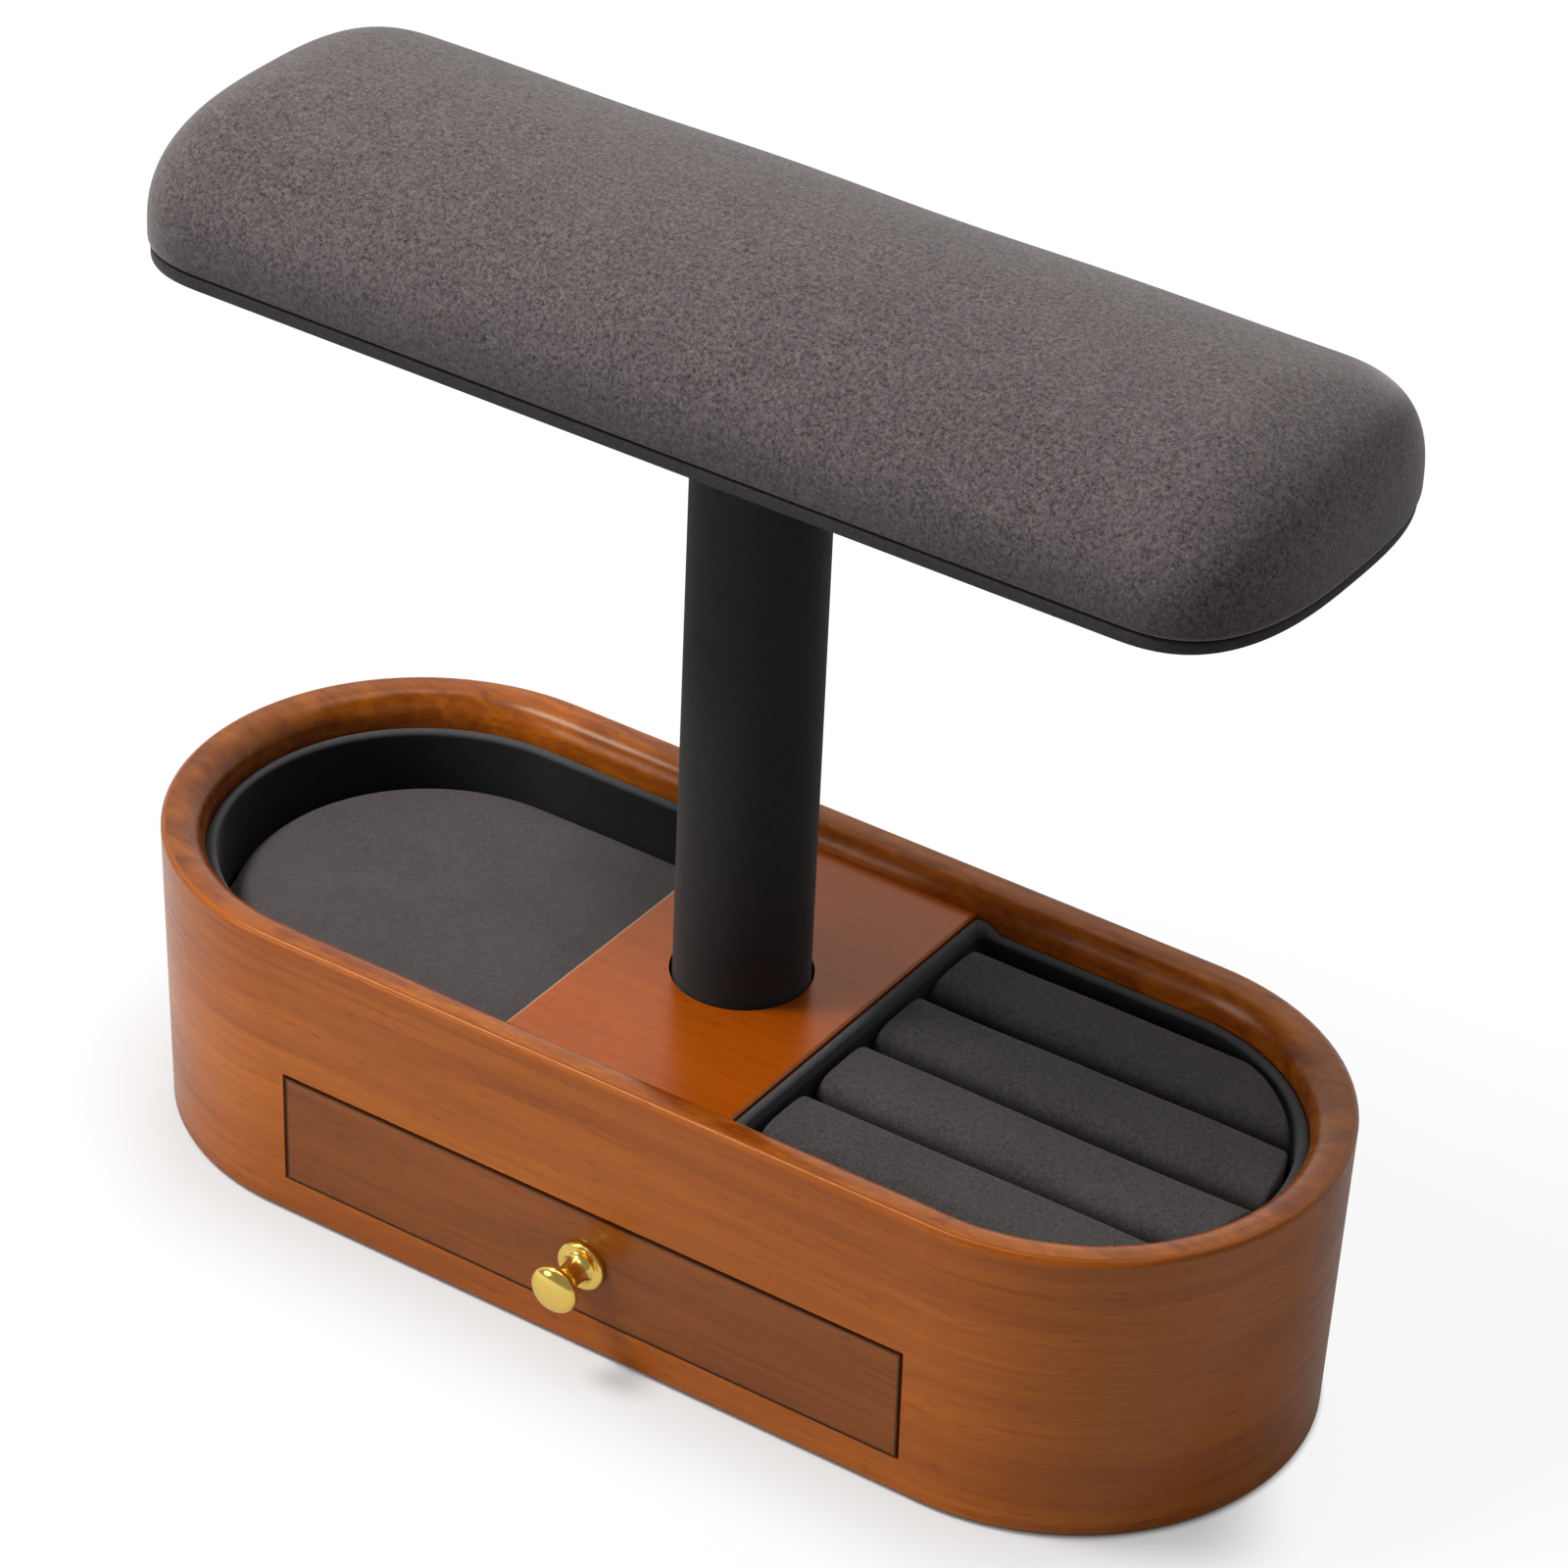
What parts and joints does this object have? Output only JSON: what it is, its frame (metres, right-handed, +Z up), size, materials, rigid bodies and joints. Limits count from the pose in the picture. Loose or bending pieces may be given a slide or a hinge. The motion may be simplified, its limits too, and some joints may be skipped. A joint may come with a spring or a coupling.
{
  "type": "watch stand",
  "caption": "Stadium-shaped wooden stand with a lined watch tray, a ring tray, a drawer and a padded T-bar on a post.",
  "frame": {"origin": "centre of the flat underside, on the surface that the stand rests on", "axes": "+X along the case and the T-bar, the drawer opens towards -Y, +Z is up"},
  "size_m": [0.24, 0.107, 0.2096],
  "materials": {
    "stained_wood": "satin",
    "front_wood": "satin",
    "board": "matt",
    "card": "matt",
    "felt": "matt",
    "bar_suede": "matt",
    "foam": "matt",
    "pad_suede": "matt",
    "roll_suede": "matt",
    "lining": "matt",
    "sleeve": "matt",
    "plate": "matt",
    "brass": "polished",
    "steel": "zinc plated"
  },
  "bodies": {
    "stand": {"base_shell": "stained_wood", "centre_block": "stained_wood", "base_panel": "board", "bay_side_left": "board", "bay_side_right": "board", "drawer_stop": "board", "deck_panel": "board", "post_core": "board", "left_tray_board": "card", "right_tray_board": "card", "base_felt": "felt", "bar_cover": "bar_suede", "bar_former": "foam", "left_tray_pad": "pad_suede", "ring_roll_1": "roll_suede", "ring_roll_2": "roll_suede", "ring_roll_3": "roll_suede", "ring_roll_4": "roll_suede", "left_tray_lining": "lining", "right_tray_lining": "lining", "post_sleeve": "sleeve", "bar_plate": "plate", "post_screw": "steel", "bar_screws": "steel"},
    "drawer": {"drawer_front": "front_wood", "drawer_side_left": "board", "drawer_side_right": "board", "drawer_bottom": "board", "drawer_back": "board", "drawer_lining": "lining", "knob": "brass", "knob_screw": "steel"}
  },
  "joints": [
    {"name": "drawer_slide", "type": "slide", "parent": "stand", "child": "drawer", "axis": [0, -1, 0], "range_m": [0, 0.06]}
  ]
}
